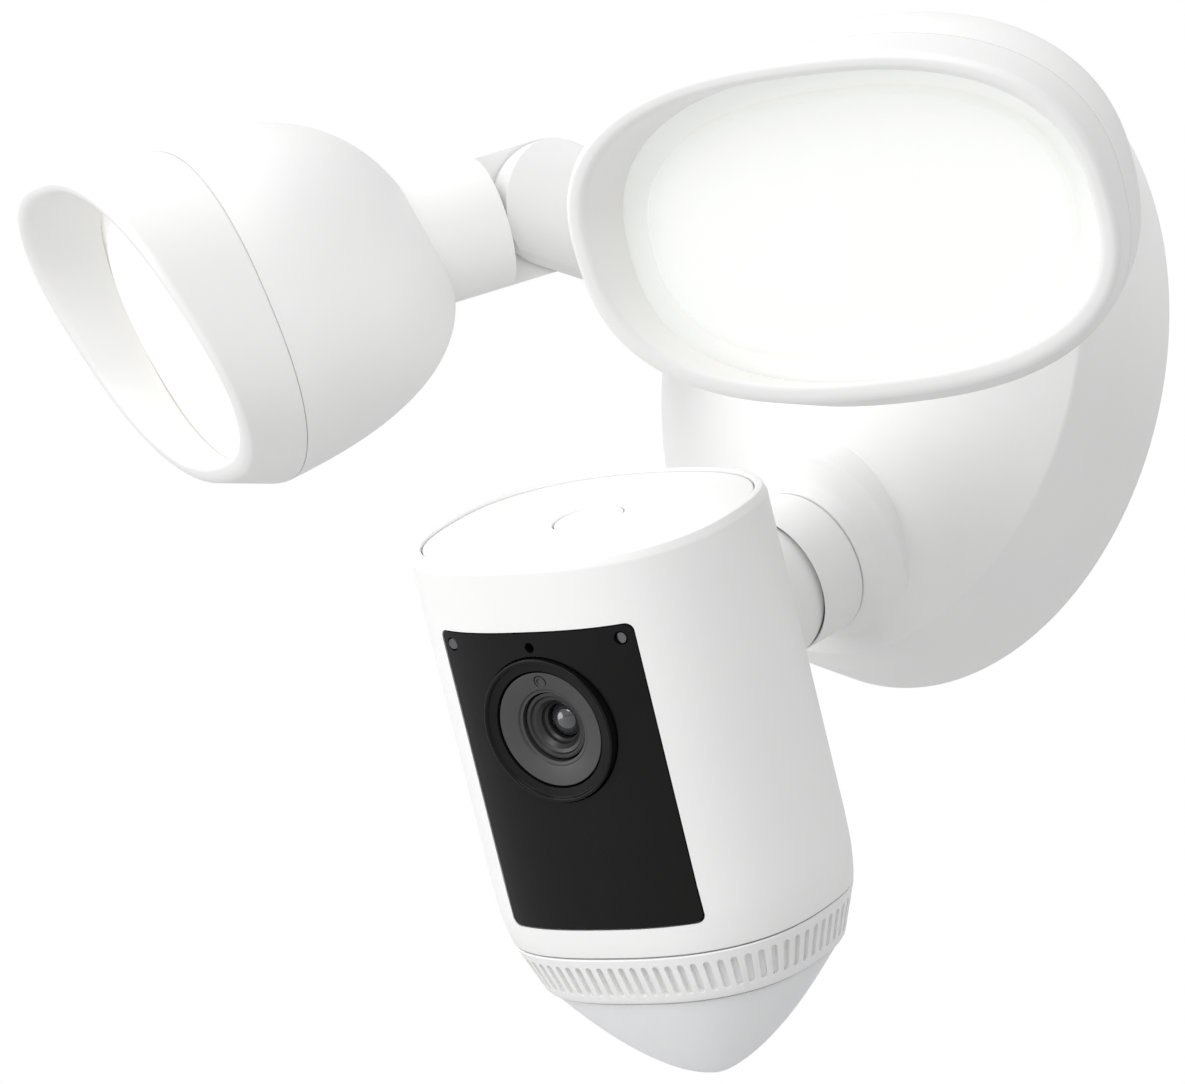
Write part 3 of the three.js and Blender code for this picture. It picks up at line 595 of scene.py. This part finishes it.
def build_neck():
    cup, ball, shaft = NECK["cup_radius"], NECK["ball_radius"], NECK["shaft_radius"]
    height, spigot, foot = NECK["ball_height"], NECK["spigot_radius"], -NECK["spigot_depth"]
    rim = NECK["seam_radius"] - 0.3
    cup_arc = arc(cup, 180 - angle_at(rim, cup), 180 - angle_at(shaft, cup), 14, height)
    ball_arc = arc(ball, 180 - angle_at(shaft, ball), angle_at(2, ball), 40, height)
    seam = NECK["seam_height"] + GAP
    flange = rounded([(2, foot), (spigot, foot), (spigot, seam), (NECK["seam_radius"], seam, 0.35),
                      (*cup_arc[0], 0.4), cup_arc[1]])
    profile = [*flange[:-1], *cup_arc[1:], *ball_arc]
    return show(turned("neck", profile, 120), neck_frame(), "neck", "white", "camera_neck")


def build_collar():
    radius, cavity, nose = CAMERA["collar_radius"], NECK["ball_radius"] + 1.6, NECK["cup_radius"] - GAP
    nose_arc = arc(nose, angle_at(radius, nose), 50, 8)
    back = -CAMERA["collar_depth"]
    corner = rounded([(radius, back), (radius, nose_arc[0][1], 0.8), nose_arc[2]])
    mouth = arc(cavity, 58, 90, 12)
    profile = [*corner[:-1], *nose_arc[2:], *mouth, (cavity, back)]
    collar = turned_by(turned("collar", profile, 120), BACK, *CAMERA["ball"])
    return show(collar, camera_frame(), "camera", "white", "rear_collar")


# ---- Camera module -------------------------------------------------------------------------------


def camera_ring(height, inset=0.0, scale=1.0):
    """The body's oval section at a height: a little shallower and squarer in front."""
    cosine, sine = np.cos(ANGLES), np.sin(ANGLES)
    front = sine < 0
    depth = np.where(front, CAMERA["half_front"], CAMERA["half_back"]) * scale - inset
    exponent = np.where(front, CAMERA["front_exponent"], CAMERA["back_exponent"])
    width = CAMERA["half_width"] * scale - inset
    radius = (np.abs(cosine / width) ** exponent + np.abs(sine / depth) ** exponent) ** (-1 / exponent)
    return np.stack([cosine * radius, sine * radius, np.full(len(ANGLES), float(height))], 1)


def rounded_rectangle(half_width, bottom, top, corner, steps):
    places = [(-half_width, bottom), (half_width, bottom), (half_width, top), (-half_width, top)]
    return rounded([(*place, corner) for place in places], closes=True, steps=steps)


def panel_prism(margin):
    """The panel's outline, larger all round by a margin, carried forwards through the body."""
    bottom, top = CAMERA["panel_bottom"] - margin, CAMERA["panel_top"] + margin
    outline = rounded_rectangle(CAMERA["panel_half_width"] + margin, bottom, top, CAMERA["panel_corner"], 8)
    return turned_by(prism("panel_prism", outline, 0, 40), FRONT)


def build_housing():
    """An oval tube, from (height, inset) points down its outside and up its inside."""
    lip = [(-0.25, 1.9), (0, 1.75, 0.1), (0, 0.9), (-0.1, 0.55, 0.3), (-1.6, 0, 1.6)]
    outside = [(-62, 0), (-68, 0.15, 30), (-72, 0.65, 20), (CAMERA["seam"], 1.1, 0.3)]
    inside = [(CAMERA["seam"], 3.4), (-66, CAMERA["wall"]), (-3, CAMERA["wall"]), (-3, 1.9)]
    profile = rounded([*lip, *outside, *inside], closes=True)
    shell = skin("camera_shell", [camera_ring(height, inset) for height, inset in profile], closes=True)
    x, _, z = CAMERA["ball"]
    collar_way = turned_by(rod("collar_way", CAMERA["collar_radius"] + GAP, 10, 40), BACK, x, 0, z)
    combine(shell, "DIFFERENCE", panel_prism(0), collar_way)
    return show(shell, camera_frame(), "camera", "white", "camera_housing", smooth=28)


def build_cap():
    heights = rounded([(-2.7, 2.2), (-0.35, 2.15, 0.3), (-0.25, 3.5)])
    rings = [camera_ring(height, inset) for height, inset in heights]
    cap = skin("camera_cap", rings)
    hole = BUTTON["hole"]
    button_way = rounded([(0, -10), (hole, -10), (hole, -0.5, 0.3), (hole + 0.6, 0.2), (0, 0.2)])
    combine(cap, "DIFFERENCE", turned("button_way", button_way))
    return show(cap, camera_frame(), "camera", "white", "top_cap")


def build_button():
    """A stem, a flange under the cap and a face a little below it."""
    stem, flange, radius, top = BUTTON["stem"], BUTTON["flange"], BUTTON["radius"], -BUTTON["sunk"]
    profile = rounded([(0, -5.8), (stem, -5.8), (stem, -4.2), (flange, -4.2), (flange, -3.1), (radius, -3.1),
                       (radius, top, 0.25), (0, top)])
    return show(turned("button", profile), camera_frame(), "button", "white", "setup_button")


def lens_part(name, profile, slot, node, sides=ROUND):
    part = turned_by(turned(name, profile, sides), FRONT, 0, 0, CAMERA["lens_height"])
    return show(part, camera_frame(), "camera", slot, node)


def build_panel():
    """A slice of the body's wall, cut to the panel's outline and bored for what looks out through it."""
    outer = skin("panel_outer", [camera_ring(height, CAMERA["panel_sunk"]) for height in (-10, -71)])
    inner = skin("panel_inner", [camera_ring(height, CAMERA["inner_wall"]) for height in (-9, -72)])
    panel = combine(outer, "DIFFERENCE", inner)
    combine(panel, "INTERSECT", panel_prism(-GAP))
    cuts = [turned_by(rod("lens_way", LENS["bezel"] + GAP, 0, 40), FRONT, 0, 0, CAMERA["lens_height"])]
    for x in (-INFRARED["x"], INFRARED["x"]):
        cuts.append(turned_by(rod("led_way", INFRARED["hole"], 0, 40, 32), FRONT, x, 0, INFRARED["z"]))
    cuts.append(turned_by(rod("microphone_way", MICROPHONE["hole"], 0, 40, 32), FRONT, 0, 0, MICROPHONE["z"]))
    combine(panel, "DIFFERENCE", *cuts)
    softened(panel, 0.18, 50, 2)
    return show(panel, camera_frame(), "camera", "panel", "front_panel", smooth=28)


def build_lens():
    """From the outside in: bezel, grey disc with a dimple in a ring, stepped barrel and the front element."""
    bezel, disc, barrel, glass, face = (LENS[key] for key in ("bezel", "disc", "barrel", "glass", "face"))
    bezel_profile = rounded([
        (disc + GAP, 19.8), (bezel, 19.8), (bezel, face, 0.35), (bezel - 0.6, face, 0.3),
        (bezel - 0.9, face - 0.55, 0.2), (disc + 0.4, face - 0.75, 0.1), (disc + GAP, face - 1.2),
    ], closes=True)
    lens_part("bezel", bezel_profile, "panel", "lens_bezel")
    disc_profile = rounded([
        (barrel + GAP, 20.1), (disc, 20.1), (disc, face - 1.0, 0.12), (7.2, face - 1.75, 0.4),
        (7.0, face - 2.1, 0.1), (barrel + GAP, face - 2.2),
    ], closes=True)
    disc_piece = turned_by(turned("disc", disc_profile), FRONT, 0, 0, CAMERA["lens_height"])
    dimple_z = CAMERA["lens_height"] + LENS["dimple_height"]
    dimple = turned_by(rod("dimple", 0.75, 24.4, 40, 32), FRONT, 0, 0, dimple_z)
    ring_profile = rounded([(1.05, 24.3), (1.3, 24.3), (1.3, 40), (1.05, 40)], closes=True)
    ring_cut = turned_by(turned("ring_cut", ring_profile, 32), FRONT, 0, 0, dimple_z)
    combine(disc_piece, "DIFFERENCE", dimple, ring_cut)
    show(disc_piece, camera_frame(), "camera", "grey_plastic", "lens_disc")
    barrel_profile = rounded([
        (0, 9.6), (barrel, 9.6), (barrel, face - 2.8, 0.2), (5.5, face - 2.8, 0.15),
        (5.2, face - 3.3, 0.1), (4.6, face - 3.5, 0.1), (3.9, face - 4.2, 0.15), (3.75, face - 4.9, 0.1),
        (glass + GAP, face - 5.3, 0.1), (glass + GAP, 17), (0, 17),
    ])
    lens_part("barrel", barrel_profile, "dark_plastic", "lens_barrel")
    element = [(0, 17.3), (glass, 17.3), (glass, face - 6.1), (2.75, face - 5.9)]
    element += [(radius, face - 4.5 - radius**2 / 5.6) for radius in (2.5, 2.2, 1.8, 1.4, 1.0, 0.6, 0.3)]
    lens_part("element", [*element, (0, face - 4.5)], "glass", "lens_glass", 64)


def vent_point(share):
    """(height, section size) down the vent ring."""
    height = VENT_TOP + (CAMERA["vent"] - VENT_TOP) * share
    return height, VENT_SCALE[0] + (VENT_SCALE[1] - VENT_SCALE[0]) * share


def slot_cutter():
    """All the blind slots as one mesh, evenly spaced along the oval and leaning with the ring's wall."""
    height, scale = vent_point(0.5)
    path = camera_ring(height, 0, scale)
    steps = np.linalg.norm(np.roll(path, -1, axis=0) - path, axis=1)
    along = np.concatenate([[0], np.cumsum(steps)])
    drop = VENT_TOP - CAMERA["vent"]
    reach = 0.34 * drop
    outline = rounded_rectangle(0.62, -reach, reach, 0.6, 5)
    points, faces = [], []
    for i in range(CAMERA["slots"]):
        station = (i + 0.5) / CAMERA["slots"] * along[-1]
        k = int(np.searchsorted(along, station, side="right")) - 1
        start, end = path[k], path[(k + 1) % len(path)]
        at = start + (end - start) * (station - along[k]) / steps[k]
        tangent = (end - start) / np.linalg.norm(end - start)
        lean = math.atan((VENT_SCALE[0] - VENT_SCALE[1]) * math.hypot(at[0], at[1]) / drop)
        outward = np.array([tangent[1] * math.cos(lean), -tangent[0] * math.cos(lean), -math.sin(lean)])
        upward = np.array([tangent[1] * math.sin(lean), -tangent[0] * math.sin(lean), math.cos(lean)])
        first, count = len(points), len(outline)
        for reach_out in (-CAMERA["slot_depth"], 2):
            points += [at + tangent * across + upward * up + outward * reach_out for across, up in outline]
        faces += [(first + j, first + (j + 1) % count, first + count + (j + 1) % count, first + count + j)
                  for j in range(count)]
        faces.append(tuple(range(first + count - 1, first - 1, -1)))
        faces.append(tuple(range(first + count, first + 2 * count)))
    cutter = mesh_object("slot_cutter", points, faces)
    face_outwards(cutter)
    return cutter


def build_vent():
    """A band that draws in evenly, with a small step at the seam and a soft lower edge."""
    wall = CAMERA["inner_wall"]
    outside = [(0.0, 0.25), (0.02, 0.0, 0.02), (0.93, 0.0), (1.0, 0.3, 0.3)]
    edge = rounded([(0.0, wall), *outside, (1.0, wall)], steps=5)
    rings = []
    for share, inset in edge:
        height, scale = vent_point(share)
        rings.append(camera_ring(height, inset, scale))
    band = skin("vent_band", rings, closes=True)
    combine(band, "DIFFERENCE", slot_cutter())
    return show(band, camera_frame(), "camera", "white", "vent_ring", smooth=40)


def dome_ring(share, raised=0.0, inset=0.0):
    """The dome's section, from its tip at 0 to its top at 1. It leans forward towards the tip."""
    height = CAMERA["dome_tip"] + (CAMERA["dome_top"] - CAMERA["dome_tip"]) * share
    ring = camera_ring(height + raised, inset, CAMERA["dome_scale"] * share ** CAMERA["dome_exponent"])
    return ring - np.array([0, CAMERA["dome_lean"] * (1 - share), 0])


def build_dome():
    wall = CAMERA["dome_wall"]
    dome = skin("sensor_dome", [dome_ring(share) for share in np.linspace(1, 0.06, 34) ** 2])
    hollow = skin("hollow", [dome_ring(share, wall, wall) for share in np.linspace(1, 0.3, 14) ** 2])
    combine(dome, "DIFFERENCE", hollow)
    return show(dome, camera_frame(), "camera", "frosted", "motion_dome")


# ---- Lamps ---------------------------------------------------------------------------------------


def lamp_ring(section, inset=0.0):
    """A lamp section's outline, drawn in by an inset and leaning back by the section's slope."""
    half_width, half_height, exponent, depth, lift, slope = section
    cosine, sine = np.cos(ANGLES), np.sin(ANGLES)
    across, upright = np.abs(cosine / (half_width - inset)), np.abs(sine / (half_height - inset))
    radius = (across**exponent + upright**exponent) ** (-1 / exponent)
    height = sine * radius
    return np.stack([cosine * radius, depth + slope * height, lift + height], 1)


def hood_section(share):
    """The section from the rim at 0 to the seam at 1."""
    return LAMP["rim"] + (LAMP["seam"] - LAMP["rim"]) * share


def shell_section(share):
    """The section from the seam at 0 to the back of the shell at 1."""
    taper = (1 - max(share, 0) ** 2.5) ** (1 / 1.2)
    half_width, half_height, exponent, depth, lift, slope = LAMP["seam"]
    return np.array([
        half_width * taper,
        half_height * math.sqrt(taper),
        exponent + (LAMP["back_exponent"] - exponent) * share,
        depth + LAMP["back_depth"] * share,
        lift + (LAMP["back_lift"] - lift) * share,
        slope * (1 - share),
    ])


def hood_rings(profile):
    """Rings from (depth behind the rim, inset) points."""
    return [lamp_ring(hood_section(depth / SEAM_DEPTH), inset) for depth, inset in profile]


def build_hood(side):
    """A rolled rim, a straight side up to the seam, and a ledge inside that holds the lens."""
    back, ledge = SEAM_DEPTH - 0.14, 10.2
    outside = [(0, 0, 1.5), (back, 0, 0.15)]
    inside = [(back, 2.6), (ledge, 2.6), (ledge, 4.3, 0.2), (0, 3.5, 1.4)]
    profile = rounded([*outside, *inside], closes=True, steps=8)
    hood = skin("hood_" + side, hood_rings(profile), closes=True)
    return show(hood, lamp_frame(side), "lamp_" + side, "white", "lamp_hood_" + side, smooth=40)


def build_lamp_lens(side):
    """A flange under the hood's ledge, a soft step, then a gently domed face."""
    flange = [(12.8, 2.9), (10.6, 2.9), (10.6, 8.2, 0.8)]
    front = rounded([*flange, (9.1, 9.4, 0.9), (8.5, 13, 6), (8.0, 20), (7.9, 30)])
    back = [(10.1, 30), (10.2, 20), (10.4, 13), (12.8, 11)]
    lens = skin("lamp_lens_front_" + side, hood_rings([*back, *front]))
    return show(lens, lamp_frame(side), "lamp_" + side, "diffuser", "lamp_lens_" + side, smooth=50)


def neck_axis():
    """The frame at the knuckle whose +Z runs along the neck towards the lamp."""
    _, y, z = LAMP["pivot"]
    return Matrix.Rotation(math.pi / 2 - math.atan2(-z, y), 4, "X")


def lap_bar(name, radius, side, profile_end):
    """A round bar along +Z. Its start is lapped to one half and rounded about the pin, which lies along X."""
    bar = turned(name, [(0, -radius - 1), (radius, -radius - 1), *profile_end])
    turn = np.radians(np.linspace(90, 270, 49))
    round_end = [(radius * math.cos(angle), radius * math.sin(angle)) for angle in turn]
    side_view = [(60, radius), *round_end, (60, -radius)]
    end_shape = turned_by(prism("end_shape", side_view, -20, 20), ACROSS.inverted())
    combine(bar, "INTERSECT", end_shape)
    low, high = sorted((GAP * side, -side * 20))
    combine(bar, "DIFFERENCE", box("lap", (low, -20, -20), (high, 20, KNUCKLE["step"])))
    return bar


def pin_cuts(side, *ways):
    """Round cuts along the pin's axis, from (radius, start, end) outwards to one side."""
    cuts = []
    for radius, start, end in ways:
        low, high = sorted((side * start, side * end))
        cuts.append(turned_by(rod("pin_way", radius, low, high, 64), ACROSS))
    return cuts


def build_shell(side):
    sign = SIDES[side]
    shares = 1 - 0.999 * np.linspace(1, 0.04, 44) ** 1.8
    lip = [lamp_ring(shell_section(share), 0.35) for share in (-0.003, 0.001)]
    body = skin("lamp_back_" + side, [*lip, *[lamp_ring(shell_section(share)) for share in shares]])
    inside = [lamp_ring(shell_section(share), LAMP["wall"]) for share in np.linspace(-0.03, 0.84, 18)]
    combine(body, "DIFFERENCE", skin("lamp_hollow", inside))
    neck = lap_bar("neck_bar", LAMP["neck_radius"], sign, [(LAMP["neck_radius"], 46), (0, 46)])
    washer_seat = (KNUCKLE["washer"] + GAP, -1, KNUCKLE["washer_depth"] + GAP)
    head_seat = (KNUCKLE["head"] + 0.4, KNUCKLE["seat"], 16)
    combine(neck, "DIFFERENCE", *pin_cuts(sign, washer_seat, (KNUCKLE["hole"], -20, 20), head_seat))
    combine(body, "UNION", turned_by(neck, neck_axis(), *LAMP["pivot"]))
    return show(body, lamp_frame(side), "lamp_" + side, "white", "lamp_shell_" + side, smooth=30)


def build_arm(side):
    sign = SIDES[side]
    radius, barrel = ARM["radius"], ARM["barrel_radius"]
    end = rounded([(radius, KNUCKLE["step"]), (radius, ARM["step"], 0.6), (barrel, ARM["step"]),
                   (barrel, ARM["end"], 0.5), (0, ARM["end"])])
    arm = lap_bar("arm_" + side + "_bar", radius, -sign, end)
    screw_way = rod("screw_way", 2.9, 24, 40, 48)
    combine(arm, "DIFFERENCE", *pin_cuts(-sign, (KNUCKLE["hole"], -1, 8)), screw_way)
    arm.name = "arm_bar_" + side
    return show(turned_by(arm, BACK), arm_frame(side), "arm_" + side, "white", "lamp_arm_" + side, smooth=30)


def pan_screw(name, head, height, shank, length):
    """A pan-head screw with a cross recess. The head stands on z = 0."""
    tip = [(0, -length), (shank - 0.3, -length), (shank, -length + 0.4)]
    crown = [(head * 0.95, height * 0.75, height * 0.5), (head * 0.5, height, 2), (0, height)]
    made = turned(name, rounded([*tip, (shank, 0), (head, 0, 0.2), *crown]), 64)
    outline = rounded_rectangle(head * 0.52, -0.42, 0.42, 0.3, 6)
    for turn in (0, 90):
        cut = prism("recess", outline, height * 0.4, height + 1)
        combine(made, "DIFFERENCE", turned_by(cut, Matrix.Rotation(math.radians(turn), 4, "Z")))
    return made


def build_knuckle_screw(side):
    sign = SIDES[side]
    made = pan_screw("knuckle_bolt_" + side, KNUCKLE["head"], 2.8, 2.6, 15.4)
    turned_by(made, ACROSS, KNUCKLE["seat"] + GAP, 0, 0)
    if sign < 0:
        made.data.transform(Matrix.Rotation(math.pi, 4, "Z"))
    return show(made, pivot_frame(side), "lamp_" + side, "steel", "knuckle_screw_" + side)


# ---- Studio --------------------------------------------------------------------------------------


def add_camera():
    """A long lens from the front right and a little below."""
    azimuth, elevation, roll = (math.radians(VIEW[key]) for key in ("azimuth", "elevation", "roll"))
    level = math.cos(elevation)
    back = Vector((math.sin(azimuth) * level, -math.cos(azimuth) * level, math.sin(elevation)))
    right = Vector((math.cos(azimuth), math.sin(azimuth), 0))
    up = back.cross(right)
    rolled = right * math.cos(roll) + up * math.sin(roll)
    data = bpy.data.cameras.new("view")
    data.sensor_width = 36
    data.lens = VIEW["lens"]
    made = bpy.data.objects.new("view", data)
    bpy.context.scene.collection.objects.link(made)
    made.matrix_world = Matrix((rolled, back.cross(rolled), back)).transposed().to_4x4()
    made.location = Vector(VIEW["aim"]) + back * VIEW["distance"]
    data.clip_end = 20
    bpy.context.scene.camera = made


def add_light(name, place, size, power):
    """A round soft light that faces the object."""
    data = bpy.data.lights.new(name, "AREA")
    data.shape = "DISK"
    data.size = size
    data.energy = power
    made = bpy.data.objects.new(name, data)
    made.location = place
    made.rotation_euler = (Vector((0, -0.05, 0)) - Vector(place)).to_track_quat("-Z", "Y").to_euler()
    bpy.context.scene.collection.objects.link(made)


def add_world(seen, shed):
    """A white backdrop of brightness seen, which lights the object with brightness shed."""
    world = bpy.data.worlds.new("studio")
    world.use_nodes = True
    tree = world.node_tree
    background = tree.nodes["Background"]
    background.inputs["Color"].default_value = (1, 1, 1, 1)
    path = tree.nodes.new("ShaderNodeLightPath")
    strength = tree.nodes.new("ShaderNodeMapRange")
    strength.inputs["To Min"].default_value = shed
    strength.inputs["To Max"].default_value = seen
    tree.links.new(path.outputs["Is Camera Ray"], strength.inputs["Value"])
    tree.links.new(strength.outputs["Result"], background.inputs["Strength"])
    bpy.context.scene.world = world


def add_studio():
    add_world(1.0, 0.75)
    bpy.context.scene.view_settings.view_transform = "Standard"
    add_light("key", (-1.0, -1.1, 1.5), 1.2, 15)
    add_light("front", (-0.8, -1.7, -0.4), 1.4, 14)
    add_light("upper_fill", (0.9, -1.9, 0.9), 1.2, 14)
    height, reach = FLOOR["height"], FLOOR["reach"]
    corners = [(x * reach, y * reach, height) for x, y in ((-1, -1), (1, -1), (1, 1), (-1, 1))]
    floor = mesh_object("floor", corners, [(0, 1, 2, 3)])
    paint = moulded("pale_floor", (0.62, 0.62, 0.62), (0.6, 0.6, 0.6), 0.7)
    floor.data.materials.append(paint.material)


# ---- Everything together -------------------------------------------------------------------------

add_camera()
for name, node in frame["nodes"].items():
    node.material_slots[0].material = MATERIALS[NODE_SLOT[name]]

build_base()
build_neck()
build_collar()
build_housing()
build_cap()
build_button()
build_panel()
build_lens()
build_vent()
build_dome()
for lamp_side in SIDES:
    build_hood(lamp_side)
    build_lamp_lens(lamp_side)
    build_shell(lamp_side)
    build_arm(lamp_side)
    build_knuckle_screw(lamp_side)
add_studio()
